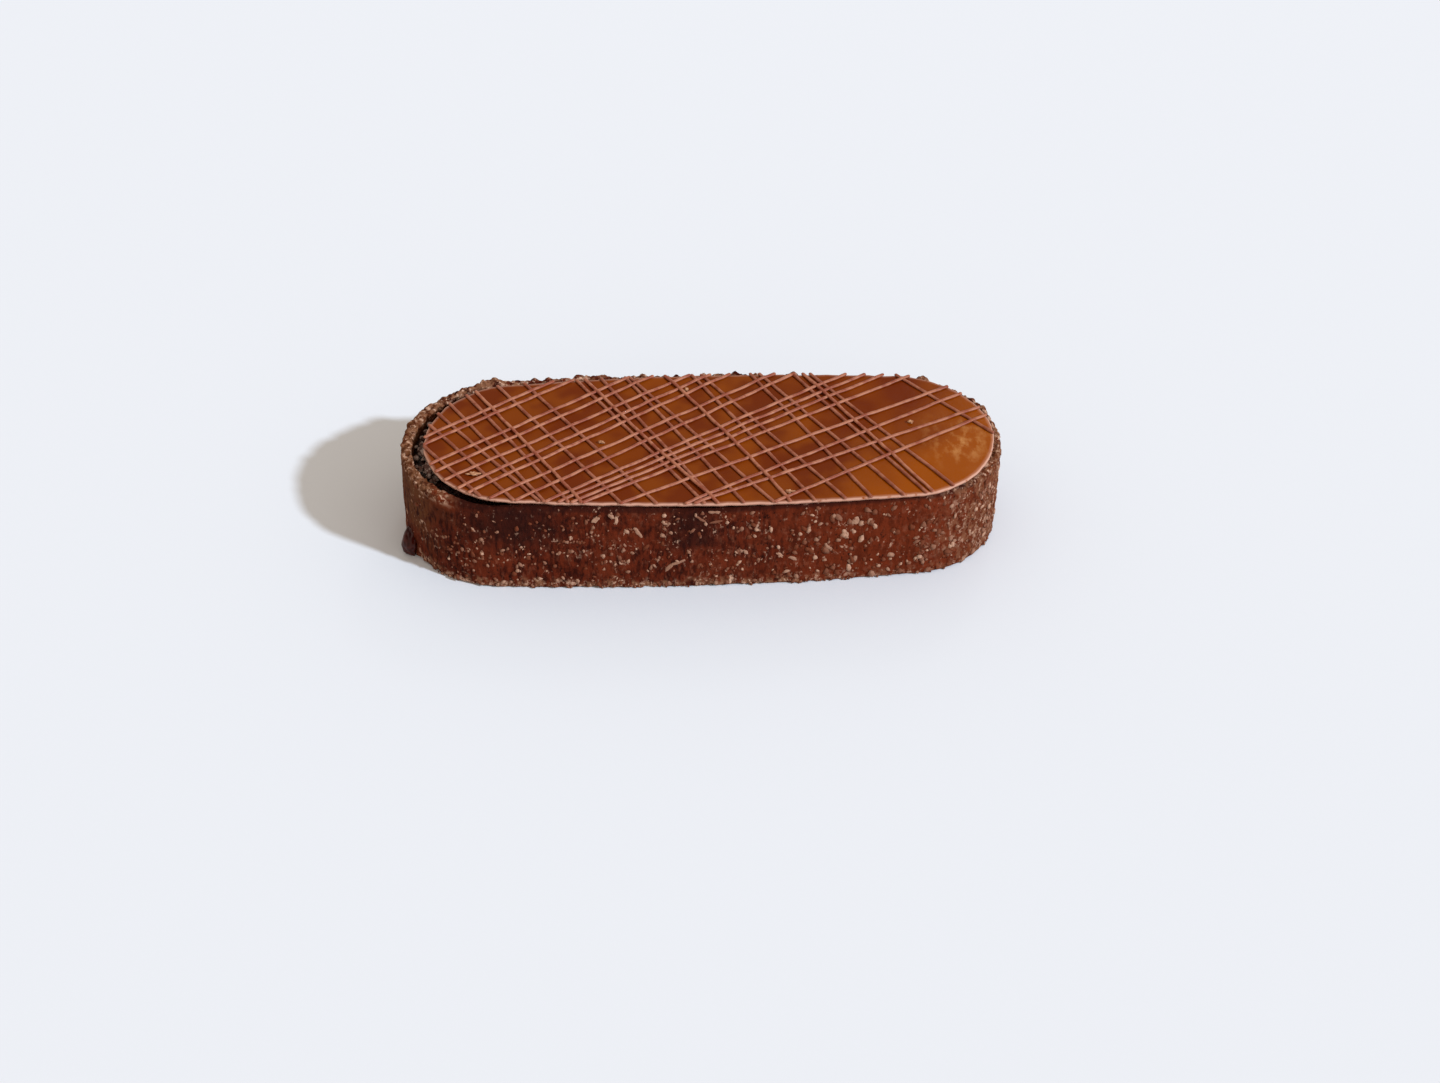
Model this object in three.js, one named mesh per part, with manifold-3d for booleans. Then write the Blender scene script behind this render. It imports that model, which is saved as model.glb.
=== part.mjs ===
import * as THREE from 'three';
import { mergeVertices } from 'three/addons/utils/BufferGeometryUtils.js';
import Module from 'manifold-3d';

// A small oblong pecan tart: a baked pastry case, a pecan filling, a thin caramel chocolate
// plaque that lies on the rim, and piped strands that cross it in three passes.
// Millimetres, +Z up. X runs along the tart, and -Y is its front. The origin is on the
// underside of the pastry, below the middle of the tart.

// Pastry case
const TART_LENGTH = 120;
const CASE_HEIGHT = 20;
const WALL_THICKNESS = 3;
const BASE_THICKNESS = 3;
const LEFT_END_RADIUS = 21;
const RIGHT_END_RADIUS = 19.3;
const SIDE_CURVE_REACH = 22.3;

// Drip of sugar that baked on at the foot of the left end
const DRIP = { x: -57.4, y: -7.5, length: 5, width: 3.6, height: 2.8 };

// Filling
const FILLING_CLEARANCE = 0.1;
const FILLING_TOP = 17.5;
const NUT_HEIGHT = 2;
const NUTS = [
  { x: -53.9, y: -6, length: 3.8, width: 2.2, turn: 100 },
  { x: -54.6, y: -0.6, length: 3.2, width: 2.4, turn: 85 },
  { x: -53.6, y: 5, length: 3.6, width: 2.2, turn: 70 },
  { x: -51, y: 9.6, length: 3.2, width: 2.2, turn: 50 },
];

// Plaque
const PLAQUE_THICKNESS = 1;
const PLAQUE = {
  left: { x: -36.2, y: -0.8, radius: 19 },
  right: { x: 38.5, y: -0.3, radius: 19.8 },
  frontReach: 22.3,
  backReach: 20.9,
};

// Piped strands: where the strand meets the two lines that run along the tart at RULE behind and
// at RULE in front of its middle line, how far its middle bows to the left of its run, and the
// stretch of its run that it covers
const RULE = 15;
const STRAND_WIDTH = 0.65;
const STRAND_HEIGHT = 0.4;
const STRAND_GAP = 0.05;
const STRAND_SETBACK = 0.3;
const STRAND_STEPS = 4;
// The strand's shoulders, as a share of its height and of half its width
const SHOULDER_RISE = 0.7;
const SHOULDER_SPREAD = 0.75;
// The number of points on each path at which the distance between two strands is measured
const PATH_SAMPLES = 200;
const FIRST_PASS = [
  [-67.5, -46], [-61.5, -40.5], [-57.5, -36], [-52.5, -34.5], [-47.5, -30], [-39.5, -20.5],
  [-33.5, -14], [-22.5, -4.5], [-17.5, -1.5], [-12.5, 3.5], [-11, 8.5], [1.5, 17.5], [4, 23],
  [13.5, 29], [16, 35], [22.5, 40], [26.5, 46.5], [44.5, 70.5],
];
const SECOND_PASS = [
  [-35, -77], [-21, -63.5], [-16.5, -59], [-9.5, -53.5], [-5, -47], [-1, -43], [8, -36],
  [12.5, -30], [23, -23], [27, -20], [31, -17], [37, -14], [51, -5], [57.5, 7], [71, 11], [74, 24],
];
const LAST_PASS = [
  [-45, -27.5], [-20.5, -2, -0.6], [-4, 12.5, 0.6], [24.5, 41.5], [-31.5, -74],
];

// Crumbs on the plaque
const CRUMB_HEIGHT = 0.6;
const CRUMBS = [
  { x: 42, y: 3.1, length: 1.2, width: 1, turn: 60 },
  { x: -20.1, y: -2, length: 1.2, width: 1, turn: 20 },
  { x: -2.6, y: 15.2, length: 1.2, width: 0.8, turn: 80 },
  { x: 16.1, y: -18.6, length: 1.4, width: 1.2, turn: 10 },
  { x: -45, y: -11.4, length: 2.6, width: 0.8, turn: -33 },
];

const CURVE_SEGMENTS = 24;
const LUMP_RINGS = 4;
const LUMP_SIDES = 12;

const pastry = new THREE.MeshStandardMaterial({ color: 0x6a3826, roughness: 0.8, metalness: 0 });
const nutFilling = new THREE.MeshStandardMaterial({ color: 0x3a1a10, roughness: 0.6, metalness: 0 });
const nut = new THREE.MeshStandardMaterial({ color: 0x8a6a52, roughness: 0.7, metalness: 0 });
const caramel = new THREE.MeshStandardMaterial({ color: 0x8a4820, roughness: 0.4, metalness: 0 });
const piping = new THREE.MeshStandardMaterial({ color: 0xb97055, roughness: 0.5, metalness: 0 });
const crumb = new THREE.MeshStandardMaterial({ color: 0xd09a78, roughness: 0.8, metalness: 0 });

const wasm = await Module();
wasm.setup();

function toSolid(geometry) {
  const plain = geometry.clone();
  plain.deleteAttribute('normal');
  plain.deleteAttribute('uv');
  const merged = mergeVertices(plain);
  const vertProperties = new Float32Array(merged.attributes.position.array);
  const triVerts = new Uint32Array(merged.index.array);
  return new wasm.Manifold(new wasm.Mesh({ numProp: 3, vertProperties, triVerts }));
}

function toGeometry(solid) {
  const { vertProperties, triVerts, numProp } = solid.getMesh();
  const geometry = new THREE.BufferGeometry();
  const positions = new THREE.InterleavedBuffer(vertProperties, numProp);
  geometry.setAttribute('position', new THREE.InterleavedBufferAttribute(positions, 3, 0));
  geometry.setIndex(new THREE.BufferAttribute(triVerts, 1));
  const flat = geometry.toNonIndexed();
  flat.computeVertexNormals();
  return flat;
}

function degrees(angle) {
  return THREE.MathUtils.degToRad(angle);
}

// An oblong with round ends: two arcs joined by a bowed front and a bowed back.
function oblong(left, right, frontReach, backReach) {
  const span = right.x - left.x;
  const leftHandle = left.x + span / 3;
  const rightHandle = right.x - span / 3;
  const shape = new THREE.Shape();
  shape.absarc(left.x, left.y, left.radius, Math.PI / 2, (3 * Math.PI) / 2, false);
  shape.bezierCurveTo(
    leftHandle, -frontReach, rightHandle, -frontReach, right.x, right.y - right.radius);
  shape.absarc(right.x, right.y, right.radius, -Math.PI / 2, Math.PI / 2, false);
  shape.bezierCurveTo(
    rightHandle, backReach, leftHandle, backReach, left.x, left.y + left.radius);
  return shape;
}

function caseOutline(inset) {
  const left = { x: LEFT_END_RADIUS - TART_LENGTH / 2, y: 0, radius: LEFT_END_RADIUS - inset };
  const right = { x: TART_LENGTH / 2 - RIGHT_END_RADIUS, y: 0, radius: RIGHT_END_RADIUS - inset };
  return oblong(left, right, SIDE_CURVE_REACH - inset, SIDE_CURVE_REACH - inset);
}

function slab(outline, bottom, top) {
  const settings = { depth: top - bottom, bevelEnabled: false, curveSegments: CURVE_SEGMENTS };
  return new THREE.ExtrudeGeometry(outline, settings).translate(0, 0, bottom);
}

// A rounded lump with a flat underside at the given height.
function lump({ x, y, length, width, turn = 0 }, height, bottom) {
  const profile = [new THREE.Vector2(0, 0)];
  for (let ring = 0; ring < LUMP_RINGS; ring += 1) {
    const rise = (ring / LUMP_RINGS) * (Math.PI / 2);
    profile.push(new THREE.Vector2(Math.cos(rise), Math.sin(rise)));
  }
  profile.push(new THREE.Vector2(0, 1));
  return new THREE.LatheGeometry(profile, LUMP_SIDES)
    .rotateX(Math.PI / 2)
    .scale(length / 2, width / 2, height)
    .rotateZ(degrees(turn))
    .translate(x, y, bottom);
}

function pastryCase() {
  const block = toSolid(slab(caseOutline(0), 0, CASE_HEIGHT));
  const hollow = toSolid(slab(caseOutline(WALL_THICKNESS), BASE_THICKNESS, CASE_HEIGHT + 1));
  const drip = toSolid(lump(DRIP, DRIP.height, 0));
  return toGeometry(block.add(drip).subtract(hollow));
}

function plaqueOutline() {
  return oblong(PLAQUE.left, PLAQUE.right, PLAQUE.frontReach, PLAQUE.backReach);
}

// The two ends of a straight line across the plaque, just inside its edge, in order along the line.
function runAcrossPlaque(crossing, angle) {
  const direction = new THREE.Vector2(Math.cos(degrees(angle)), Math.sin(degrees(angle)));
  const corners = plaqueOutline().getPoints(CURVE_SEGMENTS);
  const distances = [];
  corners.forEach((corner, index) => {
    const next = corners[(index + 1) % corners.length];
    const from = new THREE.Vector2(corner.x - crossing, corner.y);
    const to = new THREE.Vector2(next.x - crossing, next.y);
    const fromSide = direction.cross(from);
    const toSide = direction.cross(to);
    if (fromSide * toSide < 0) {
      const meeting = from.lerp(to, fromSide / (fromSide - toSide));
      distances.push(direction.dot(meeting));
    }
  });
  const at = (distance) => new THREE.Vector2(crossing, 0).addScaledVector(direction, distance);
  return [at(Math.min(...distances) + STRAND_SETBACK), at(Math.max(...distances) - STRAND_SETBACK)];
}

// A strand's path in plan, as a gentle arc between its two ends.
function strandPath([back, front, bow = 0, from = 0, to = 1]) {
  const crossing = (back + front) / 2;
  const angle = THREE.MathUtils.radToDeg(Math.atan((-2 * RULE) / (front - back)));
  const [first, last] = runAcrossPlaque(crossing, angle);
  const start = first.clone().lerp(last, from);
  const end = first.clone().lerp(last, to);
  const side = new THREE.Vector2(-Math.sin(degrees(angle)), Math.cos(degrees(angle)));
  const middle = start.clone().lerp(end, 0.5).addScaledVector(side, 2 * bow);
  return new THREE.QuadraticBezierCurve(start, middle, end);
}

function pathsMeet(one, other) {
  const closest = STRAND_WIDTH + STRAND_GAP;
  const otherPoints = other.getPoints(PATH_SAMPLES);
  return one.getPoints(PATH_SAMPLES).some((point) => (
    otherPoints.some((otherPoint) => point.distanceTo(otherPoint) < closest)
  ));
}

// A strand has a flat underside and a rounded back, and lies level at the given height.
function strandGeometry(path, bottom) {
  const half = STRAND_WIDTH / 2;
  const section = new THREE.Shape([
    new THREE.Vector2(0, -half),
    new THREE.Vector2(0, half),
    new THREE.Vector2(-STRAND_HEIGHT * SHOULDER_RISE, half * SHOULDER_SPREAD),
    new THREE.Vector2(-STRAND_HEIGHT, 0),
    new THREE.Vector2(-STRAND_HEIGHT * SHOULDER_RISE, -half * SHOULDER_SPREAD),
  ]);
  const raised = (point) => new THREE.Vector3(point.x, point.y, bottom);
  const spine = new THREE.QuadraticBezierCurve3(raised(path.v0), raised(path.v1), raised(path.v2));
  return new THREE.ExtrudeGeometry(section, { steps: STRAND_STEPS, extrudePath: spine });
}

const tart = new THREE.Group();

function addPiece(name, geometry, material) {
  const mesh = new THREE.Mesh(geometry, material);
  mesh.name = name;
  tart.add(mesh);
}

function numbered(name, index) {
  return `${name}_${String(index + 1).padStart(2, '0')}`;
}

addPiece('pastry_case', pastryCase(), pastry);
addPiece('pecan_filling',
  slab(caseOutline(WALL_THICKNESS + FILLING_CLEARANCE), BASE_THICKNESS, FILLING_TOP), nutFilling);
NUTS.forEach((place, index) => {
  addPiece(numbered('pecan_piece', index), lump(place, NUT_HEIGHT, FILLING_TOP), nut);
});

const plaqueTop = CASE_HEIGHT + PLAQUE_THICKNESS;
addPiece('caramel_plaque', slab(plaqueOutline(), CASE_HEIGHT, plaqueTop), caramel);

// Each strand lies on top of the highest strand that it crosses.
const laid = [];
function layPass(name, rows) {
  rows.forEach((row, index) => {
    const path = strandPath(row);
    const crossed = laid.filter((strand) => pathsMeet(path, strand.path));
    const layer = crossed.length === 0 ? 0 : 1 + Math.max(...crossed.map((strand) => strand.layer));
    laid.push({ path, layer });
    addPiece(numbered(name, index), strandGeometry(path, plaqueTop + layer * STRAND_HEIGHT), piping);
  });
}
layPass('first_pass_strand', FIRST_PASS);
layPass('second_pass_strand', SECOND_PASS);
layPass('last_pass_strand', LAST_PASS);

CRUMBS.forEach((place, index) => {
  addPiece(numbered('pastry_crumb', index), lump(place, CRUMB_HEIGHT, plaqueTop), crumb);
});

export default tart;
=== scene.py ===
"""An oblong pecan tart: a baked pastry case with a nut filling, under a thin caramel chocolate
plaque crossed by fine piped strands. It stands on a plain pale floor in soft daylight.

Lengths are in millimetres inside the classes, and in metres in every mesh.
"""

from __future__ import annotations

import logging
import math
import random
from dataclasses import dataclass, field
from enum import IntEnum
from typing import Callable, Iterator, Mapping, Sequence

import bmesh
import bpy
import numpy as np
from mathutils import Matrix, Quaternion, Vector, noise


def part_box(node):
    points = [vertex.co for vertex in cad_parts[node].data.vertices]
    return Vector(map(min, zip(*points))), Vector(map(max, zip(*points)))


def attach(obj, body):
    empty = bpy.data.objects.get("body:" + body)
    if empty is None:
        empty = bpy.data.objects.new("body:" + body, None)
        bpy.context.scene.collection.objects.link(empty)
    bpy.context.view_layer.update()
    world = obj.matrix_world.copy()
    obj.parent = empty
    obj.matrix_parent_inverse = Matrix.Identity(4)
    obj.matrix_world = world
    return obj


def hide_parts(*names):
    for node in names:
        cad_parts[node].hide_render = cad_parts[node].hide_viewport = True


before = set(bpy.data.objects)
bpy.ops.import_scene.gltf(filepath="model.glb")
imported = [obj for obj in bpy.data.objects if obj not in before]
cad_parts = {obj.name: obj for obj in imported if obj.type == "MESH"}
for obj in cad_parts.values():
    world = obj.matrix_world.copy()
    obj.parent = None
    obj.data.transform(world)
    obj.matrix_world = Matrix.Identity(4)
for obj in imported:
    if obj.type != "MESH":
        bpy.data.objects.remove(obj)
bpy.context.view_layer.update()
LOG = logging.getLogger("pecan_tart")

Material = bpy.types.Material
Socket = bpy.types.NodeSocket
BMesh = bmesh.types.BMesh

MM = 0.001
ROOT = "root"


# === Small tools for meshes ===


def smoothstep(low: float, high: float, value: float) -> float:
    """Rises smoothly from 0 at low to 1 at high."""
    share = min(max((value - low) / (high - low), 0.0), 1.0)
    return share * share * (3.0 - 2.0 * share)


def bell(value: float, middle: float, half_width: float) -> float:
    """A smooth hump of height 1 around middle, and 0 beyond half_width on both sides."""
    return 1.0 - smoothstep(0.0, half_width, abs(value - middle))


def grain(place: Vector, size: float, seed: float = 0.0) -> float:
    """Smooth noise between about -1 and 1.

    Args:
        place: The point, in millimetres.
        size: The width of one bump, in millimetres.
        seed: Moves the pattern, so that two patterns of one size differ.

    Returns:
        The noise's value there.
    """
    return noise.noise(place / size + Vector((seed, 1.7 * seed, -seed)))


@dataclass(frozen=True)
class RoundEnd:
    """One round end of an oblong, in millimetres."""

    x: float
    y: float
    radius: float


@dataclass(frozen=True)
class Station:
    """One place round an oblong: a point on its edge and the nearest point of its spine."""

    edge: Vector
    spine: Vector

    def at(self, inset: float, share: float) -> Vector:
        """A point inside the edge.

        Args:
            inset: The distance in from the edge, in millimetres.
            share: How far from there to the spine, from 0 to 1.

        Returns:
            The point in plan.
        """
        inward = (self.spine - self.edge).normalized()
        return (self.edge + inward * inset).lerp(self.spine, share)


class Side(IntEnum):
    """The two long sides of an oblong, and the way that each runs."""

    FRONT = 1
    BACK = -1


@dataclass(frozen=True)
class Oblong:
    """A tapered oblong with round ends and bowed sides, in millimetres."""

    left: RoundEnd
    right: RoundEnd
    front_reach: float
    back_reach: float

    def _end(self, end: RoundEnd, start: float, steps: int) -> Iterator[Station]:
        """The stations of half a turn round one end.

        Args:
            end: The round end.
            start: The angle of its first station, in radians.
            steps: The number of steps.

        Returns:
            The stations in order.
        """
        centre = Vector((end.x, end.y))
        for step in range(steps):
            angle = start + math.pi * step / steps
            out = Vector((math.cos(angle), math.sin(angle)))
            yield Station(centre + out * end.radius, centre)

    def _spine(self, run: float) -> Vector:
        """The point of the spine at a share of its run."""
        left = Vector((self.left.x, self.left.y))
        return left.lerp(Vector((self.right.x, self.right.y)), run)

    def _side_reach(self, side: Side, run: float) -> float:
        """How far a side lies from the middle line at a share of its run.

        Args:
            side: Which side.
            run: The share of the side's run, from 0 to 1.

        Returns:
            The distance, in millimetres.
        """
        reach = self.front_reach if side is Side.FRONT else self.back_reach
        left = (1 - run) ** 3 * (self.left.radius - side * self.left.y)
        right = run**3 * (self.right.radius - side * self.right.y)
        return left + 3 * run * (1 - run) * reach + right

    def _side(self, side: Side, steps: int) -> Iterator[Station]:
        """The stations along the front, or on along the back the other way.

        Args:
            side: Which side.
            steps: The number of steps.

        Returns:
            The stations in order.
        """
        for step in range(steps):
            run = step / steps if side is Side.FRONT else 1.0 - step / steps
            spine = self._spine(run)
            yield Station(Vector((spine.x, -side * self._side_reach(side, run))), spine)

    def outside(self, place: Vector) -> float:
        """How far a point lies outside the edge, in millimetres, or inside it, below zero.

        Args:
            place: The point, in millimetres.

        Returns:
            The distance, in millimetres.
        """
        run = (place.x - self.left.x) / (self.right.x - self.left.x)
        if run <= 0.0:
            return (place.xy - self._spine(0.0)).length - self.left.radius
        if run >= 1.0:
            return (place.xy - self._spine(1.0)).length - self.right.radius
        side = Side.FRONT if place.y < self._spine(run).y else Side.BACK
        return -side * place.y - self._side_reach(side, run)

    def stations(self, pitch: float) -> list[Station]:
        """Stations all round, from the back of the left end and on over its tip.

        Args:
            pitch: The distance between two stations, in millimetres.

        Returns:
            The stations. Those of the front and the back share their spine points.
        """
        side_steps = round((self.right.x - self.left.x) / pitch)
        left_steps = round(math.pi * self.left.radius / pitch)
        right_steps = round(math.pi * self.right.radius / pitch)
        return [
            *self._end(self.left, math.pi / 2, left_steps),
            *self._side(Side.FRONT, side_steps),
            *self._end(self.right, -math.pi / 2, right_steps),
            *self._side(Side.BACK, side_steps),
        ]


@dataclass(frozen=True)
class Ring:
    """One ring of a shape built round an oblong: its inset, its share to the spine, its height."""

    inset: float
    share: float
    height: float


def run_of_rings(first: Ring, last: Ring, steps: int) -> list[Ring]:
    """Rings from first up to, but without, last, at even steps.

    Args:
        first: The first ring.
        last: The ring that they stop short of.
        steps: The number of steps.

    Returns:
        The rings in order.
    """
    rings = []
    for step in range(steps):
        along = step / steps
        rings.append(
            Ring(
                first.inset + along * (last.inset - first.inset),
                first.share + along * (last.share - first.share),
                first.height + along * (last.height - first.height),
            )
        )
    return rings


def chain_of_rings(*stops: Ring | int) -> list[Ring]:
    """Rings through several stops, without the last one.

    Args:
        *stops: A ring, the number of steps on to the next ring, that ring, and so on.

    Returns:
        The rings in order.
    """
    rings = []
    for first, steps, last in zip(stops[0::2], stops[1::2], stops[2::2]):
        rings += run_of_rings(first, last, steps)
    return rings


def rolled_sheet(
    columns: int, rows: int, place: Callable[[int, int], Vector], weld: float
) -> BMesh:
    """A grid whose points are laid onto a closed shape, and whose seams and poles are welded.

    Args:
        columns: The number of steps round the shape. The last column falls on the first.
        rows: The number of steps from one pole to the other.
        place: Gives the point of a column and a row, in millimetres.
        weld: Points nearer than this become one, in millimetres.

    Returns:
        The welded mesh, in metres, with its faces pointing out.
    """
    bm = bmesh.new()
    bmesh.ops.create_grid(bm, x_segments=columns, y_segments=rows, size=1.0)
    for vert in bm.verts:
        column = round((vert.co.x + 1.0) / 2.0 * columns)
        row = round((vert.co.y + 1.0) / 2.0 * rows)
        vert.co = place(column % columns, row) * MM
    bmesh.ops.remove_doubles(bm, verts=bm.verts, dist=weld * MM)
    bmesh.ops.recalc_face_normals(bm, faces=bm.faces)
    return bm


def built_round(oblong: Oblong, rings: Sequence[Ring], pitch: float) -> BMesh:
    """A closed solid made of rings round an oblong.

    Args:
        oblong: The outline.
        rings: The rings in order, the first and the last of them on the spine.
        pitch: The distance between two columns, in millimetres.

    Returns:
        The solid.
    """
    stations = oblong.stations(pitch)

    def place(column: int, row: int) -> Vector:
        """The point of one column on one ring."""
        ring = rings[row]
        return stations[column].at(ring.inset, ring.share).to_3d() + Vector((0, 0, ring.height))

    return rolled_sheet(len(stations), len(rings) - 1, place, weld=0.005)


def carve(bm: BMesh, relief: Callable[[Vector, Vector], float]) -> None:
    """Moves each point along its normal.

    Args:
        bm: The mesh.
        relief: Gives the move in millimetres from the point, in millimetres, and its normal.
    """
    bm.normal_update()
    moves = [(vert, relief(vert.co / MM, vert.normal)) for vert in bm.verts]
    for vert, move in moves:
        vert.co += vert.normal * move * MM


def mark(
    bm: BMesh, name: str, value: Callable[[Vector, Vector], float]
) -> None:
    """Gives each point a number that a material can read.

    Args:
        bm: The mesh.
        name: The attribute's name.
        value: Gives the number from the point, in millimetres, and its normal.
    """
    bm.normal_update()
    layer = bm.verts.layers.float.new(name)
    for vert in bm.verts:
        vert[layer] = value(vert.co / MM, vert.normal)


def add_object(name: str, data: bpy.types.ID) -> bpy.types.Object:
    """Puts a new object with this data into the scene.

    Args:
        name: Its name.
        data: Its data.

    Returns:
        The object.
    """
    added = bpy.data.objects.new(name, data)
    bpy.context.scene.collection.objects.link(added)
    return added


def to_object(bm: BMesh, name: str, material: Material) -> bpy.types.Object:
    """Turns a mesh, which is freed, into an object at the origin.

    Args:
        bm: The mesh, which is freed.
        name: Its name.
        material: The material.

    Returns:
        The object.
    """
    mesh = bpy.data.meshes.new(name)
    bm.to_mesh(mesh)
    bm.free()
    mesh.materials.append(material)
    return add_object(name, mesh)


def to_piece(bm: BMesh, name: str, material: Material) -> bpy.types.Object:
    """Turns a mesh into a smooth-shaded object at the origin that rides on the tart.

    Args:
        bm: The mesh, which is freed.
        name: The piece's name.
        material: Its material.

    Returns:
        The object.
    """
    for face in bm.faces:
        face.smooth = True
    piece = to_object(bm, name, material)
    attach(piece, ROOT)
    LOG.info("%s: %d faces", name, len(piece.data.polygons))
    return piece


# === Finishes ===


def linear(hex_colour: str) -> tuple[float, float, float, float]:
    """Turns an sRGB hex value such as '#804020' into a linear colour.

    Args:
        hex_colour: The sRGB value.

    Returns:
        The colour, with an alpha of 1.
    """
    channels = [int(hex_colour[start : start + 2], 16) / 255 for start in (1, 3, 5)]
    values = [c / 12.92 if c <= 0.04045 else ((c + 0.055) / 1.055) ** 2.4 for c in channels]
    return (values[0], values[1], values[2], 1.0)


def colour_value(colour: Socket | str) -> object:
    """A socket as it is, or an sRGB hex value turned linear."""
    return linear(colour) if isinstance(colour, str) else colour


def add_node(
    tree: bpy.types.NodeTree,
    kind: str,
    inputs: Mapping[str | int, object] | None = None,
    **settings: object,
) -> bpy.types.Node:
    """Adds a node with its settings and links.

    Args:
        tree: The node tree.
        kind: The node's type, such as 'ShaderNodeTexNoise'.
        inputs: Socket name or number to its value, or to the output that feeds it.
        **settings: The node's own properties.

    Returns:
        The node.
    """
    node = tree.nodes.new(kind)
    for name, value in settings.items():
        setattr(node, name, value)
    for key, value in (inputs or {}).items():
        if isinstance(value, Socket):
            tree.links.new(value, node.inputs[key])
        else:
            node.inputs[key].default_value = value
    return node


# The sockets of a Mix node that mixes colours
MIX_FACTOR = 0
MIX_A = 6
MIX_B = 7
MIX_RESULT = 2


@dataclass
class Palette:
    """Builds one material's colour, bump and gloss step by step, on Object coordinates."""

    name: str
    tree: bpy.types.NodeTree = field(init=False)
    material: Material = field(init=False)

    def __post_init__(self) -> None:
        """Makes the empty material."""
        self.material = bpy.data.materials.new(self.name)
        self.material.use_nodes = True
        self.tree = self.material.node_tree
        self.tree.nodes.clear()
        self.place = add_node(self.tree, "ShaderNodeTexCoord").outputs["Object"]

    def noise(
        self, size: float, detail: float = 3.0, stretch: tuple[float, float, float] = (1, 1, 1)
    ) -> Socket:
        """Noise whose blotches are about size millimetres wide, stretched along each axis.

        Args:
            size: The width of a blotch, in millimetres.
            detail: The number of finer layers.
            stretch: How much longer a blotch is on each axis.

        Returns:
            The result.
        """
        scale = tuple(1.0 / (size * MM * along) for along in stretch)
        spread = add_node(
            self.tree, "ShaderNodeMapping", {"Vector": self.place, "Scale": scale}
        )
        return add_node(
            self.tree,
            "ShaderNodeTexNoise",
            {"Vector": spread.outputs[0], "Scale": 1.0, "Detail": detail, "Roughness": 0.6},
        ).outputs["Fac"]

    def attribute(self, name: str) -> Socket:
        """A number that the mesh carries."""
        return add_node(self.tree, "ShaderNodeAttribute", attribute_name=name).outputs["Fac"]

    def band(
        self, value: Socket, low: float, high: float, top: float = 1.0
    ) -> Socket:
        """Turns value into 0 below low, top above high, and a smooth rise between.

        Args:
            value: The number.
            low: Where the rise begins.
            high: Where the rise ends.
            top: The highest result.

        Returns:
            The result.
        """
        return add_node(
            self.tree,
            "ShaderNodeMapRange",
            {"Value": value, "From Min": low, "From Max": high, "To Min": 0.0, "To Max": top},
            interpolation_type="SMOOTHSTEP",
        ).outputs[0]

    def calculate(self, operation: str, first: object, second: object) -> Socket:
        """One sum of two numbers, clamped to 0 and 1.

        Args:
            operation: The Math node's operation.
            first: The first number.
            second: The second number.

        Returns:
            The result.
        """
        return add_node(
            self.tree, "ShaderNodeMath", {0: first, 1: second}, operation=operation, use_clamp=True
        ).outputs[0]

    def times(self, first: object, second: object) -> Socket:
        """Multiplies two numbers between 0 and 1."""
        return self.calculate("MULTIPLY", first, second)

    def mix(self, factor: object, first: Socket | str, second: Socket | str) -> Socket:
        """Mixes two colours, each a socket or an sRGB hex value.

        Args:
            factor: How far the second colour shows.
            first: The first colour.
            second: The second colour.

        Returns:
            The result.
        """
        return add_node(
            self.tree,
            "ShaderNodeMix",
            {MIX_FACTOR: factor, MIX_A: colour_value(first), MIX_B: colour_value(second)},
            data_type="RGBA",
        ).outputs[MIX_RESULT]

    def bump(self, height: Socket, depth: float, under: Socket | None = None) -> Socket:
        """A bump whose height of 1 is depth millimetres, on top of another bump.

        Args:
            height: The socket that drives it.
            depth: How high 1 is, in millimetres.
            under: The bump below it.

        Returns:
            The result.
        """
        inputs = {"Height": height, "Strength": 1.0, "Distance": depth * MM}
        if under is not None:
            inputs["Normal"] = under
        return add_node(self.tree, "ShaderNodeBump", inputs).outputs[0]

    def finish(
        self,
        colour: Socket | str,
        roughness: float,
        normal: Socket | None = None,
        specular: float = 0.5,
    ) -> Material:
        """Ends the material in a Principled shader.

        Args:
            colour: A socket or an sRGB hex value.
            roughness: The surface's roughness.
            normal: The bump, if it has one.
            specular: The strength of its reflection.

        Returns:
            The material.
        """
        inputs = {
            "Base Color": colour_value(colour), "Roughness": roughness,
            "Specular IOR Level": specular,
        }
        if normal is not None:
            inputs["Normal"] = normal
        shader = add_node(self.tree, "ShaderNodeBsdfPrincipled", inputs)
        add_node(self.tree, "ShaderNodeOutputMaterial", {"Surface": shader.outputs[0]})
        return self.material


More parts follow.
